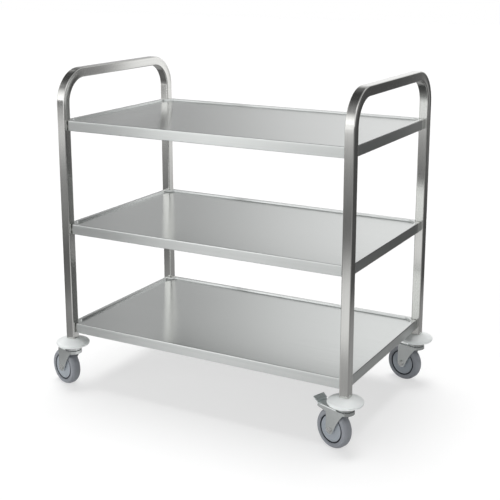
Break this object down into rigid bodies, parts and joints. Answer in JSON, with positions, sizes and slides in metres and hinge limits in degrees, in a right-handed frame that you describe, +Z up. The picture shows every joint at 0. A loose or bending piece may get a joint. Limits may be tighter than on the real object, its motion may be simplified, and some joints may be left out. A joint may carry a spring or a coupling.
{
  "type": "stainless steel trolley",
  "caption": "Open serving trolley of square steel tube with folded sheet shelves, an arched push handle at each end, bumper discs and swivel casters.",
  "frame": {"origin": "on the floor under the middle of the whole trolley's box; the frame itself stands about 24 mm to +X of it, because the casters trail to -X at rest", "axes": "+X along the long side, towards the end that the casters trail away from; +Y from the front long side to the back; +Z up"},
  "size_m": [0.9534, 0.575, 0.875],
  "materials": {
    "steel_tube": "satin polished square tube",
    "steel_sheet": "satin folded sheet",
    "stainless_fastener": "plain stainless",
    "zinc_plate": "bright zinc plate",
    "plug_nylon": "moulded nylon",
    "bumper_plastic": "smooth soft white bumper",
    "bearing_steel": "polished",
    "tyre_rubber": "smooth grey non-marking rubber",
    "wheel_plastic": "moulded grey plastic",
    "pad_rubber": "hard rubber"
  },
  "bodies": {
    "frame": {"left_end_frame": "steel_tube", "right_end_frame": "steel_tube", "top_shelf": "steel_sheet", "middle_shelf": "steel_sheet", "bottom_shelf": "steel_sheet", "shelf_bolts": "stainless_fastener", "shelf_washers": "stainless_fastener", "rivet_nuts": "stainless_fastener", "leg_plugs": "plug_nylon", "stem_bolts": "zinc_plate", "front_left_bumper": "bumper_plastic", "front_right_bumper": "bumper_plastic", "back_right_bumper": "bumper_plastic", "back_left_bumper": "bumper_plastic", "front_left_race": "zinc_plate", "front_right_race": "zinc_plate", "back_right_race": "zinc_plate", "back_left_race": "zinc_plate"},
    "front_left_caster_head": {"front_left_fork": "zinc_plate", "front_left_balls": "bearing_steel", "front_left_axle": "zinc_plate", "front_left_nut": "zinc_plate", "front_left_sleeve": "zinc_plate"},
    "front_left_road_wheel": {"front_left_wheel": "wheel_plastic", "front_left_tyre": "tyre_rubber"},
    "front_right_caster_head": {"front_right_fork": "zinc_plate", "front_right_balls": "bearing_steel", "front_right_axle": "zinc_plate", "front_right_nut": "zinc_plate", "front_right_sleeve": "zinc_plate", "front_right_pin": "zinc_plate"},
    "front_right_road_wheel": {"front_right_wheel": "wheel_plastic", "front_right_tyre": "tyre_rubber"},
    "front_right_brake_lever": {"front_right_pedal": "zinc_plate", "front_right_pad": "pad_rubber"},
    "back_right_caster_head": {"back_right_fork": "zinc_plate", "back_right_balls": "bearing_steel", "back_right_axle": "zinc_plate", "back_right_nut": "zinc_plate", "back_right_sleeve": "zinc_plate"},
    "back_right_road_wheel": {"back_right_wheel": "wheel_plastic", "back_right_tyre": "tyre_rubber"},
    "back_left_caster_head": {"back_left_fork": "zinc_plate", "back_left_balls": "bearing_steel", "back_left_axle": "zinc_plate", "back_left_nut": "zinc_plate", "back_left_sleeve": "zinc_plate", "back_left_pin": "zinc_plate"},
    "back_left_road_wheel": {"back_left_wheel": "wheel_plastic", "back_left_tyre": "tyre_rubber"},
    "back_left_brake_lever": {"back_left_pedal": "zinc_plate", "back_left_pad": "pad_rubber"}
  },
  "joints": [
    {"name": "front_left_swivel", "type": "hinge", "parent": "frame", "child": "front_left_caster_head", "pos_m": [-0.3833, -0.2425, 0.1], "axis": [0, 0, 1], "continuous": true},
    {"name": "front_left_roll", "type": "hinge", "parent": "front_left_caster_head", "child": "front_left_road_wheel", "pos_m": [-0.41677, -0.23227, 0.05], "axis": [-0.2924, -0.9563, 0], "continuous": true},
    {"name": "front_right_swivel", "type": "hinge", "parent": "frame", "child": "front_right_caster_head", "pos_m": [0.4317, -0.2425, 0.1], "axis": [0, 0, 1], "continuous": true},
    {"name": "front_right_roll", "type": "hinge", "parent": "front_right_caster_head", "child": "front_right_road_wheel", "pos_m": [0.39881, -0.23053, 0.05], "axis": [-0.342, -0.9397, 0], "continuous": true},
    {"name": "front_right_brake", "type": "hinge", "parent": "front_right_caster_head", "child": "front_right_brake_lever", "pos_m": [0.38283, -0.22471, 0.1023], "axis": [-0.342, -0.9397, 0], "range_deg": [0, 25]},
    {"name": "back_right_swivel", "type": "hinge", "parent": "frame", "child": "back_right_caster_head", "pos_m": [0.4317, 0.2425, 0.1], "axis": [0, 0, 1], "continuous": true},
    {"name": "back_right_roll", "type": "hinge", "parent": "back_right_caster_head", "child": "back_right_road_wheel", "pos_m": [0.39774, 0.25097, 0.05], "axis": [-0.2419, -0.9703, 0], "continuous": true},
    {"name": "back_left_swivel", "type": "hinge", "parent": "frame", "child": "back_left_caster_head", "pos_m": [-0.3833, 0.2425, 0.1], "axis": [0, 0, 1], "continuous": true},
    {"name": "back_left_roll", "type": "hinge", "parent": "back_left_caster_head", "child": "back_left_road_wheel", "pos_m": [-0.41695, 0.25215, 0.05], "axis": [-0.2756, -0.9613, 0], "continuous": true},
    {"name": "back_left_brake", "type": "hinge", "parent": "back_left_caster_head", "child": "back_left_brake_lever", "pos_m": [-0.43329, 0.25683, 0.1023], "axis": [-0.2756, -0.9613, 0], "range_deg": [0, 25]}
  ]
}
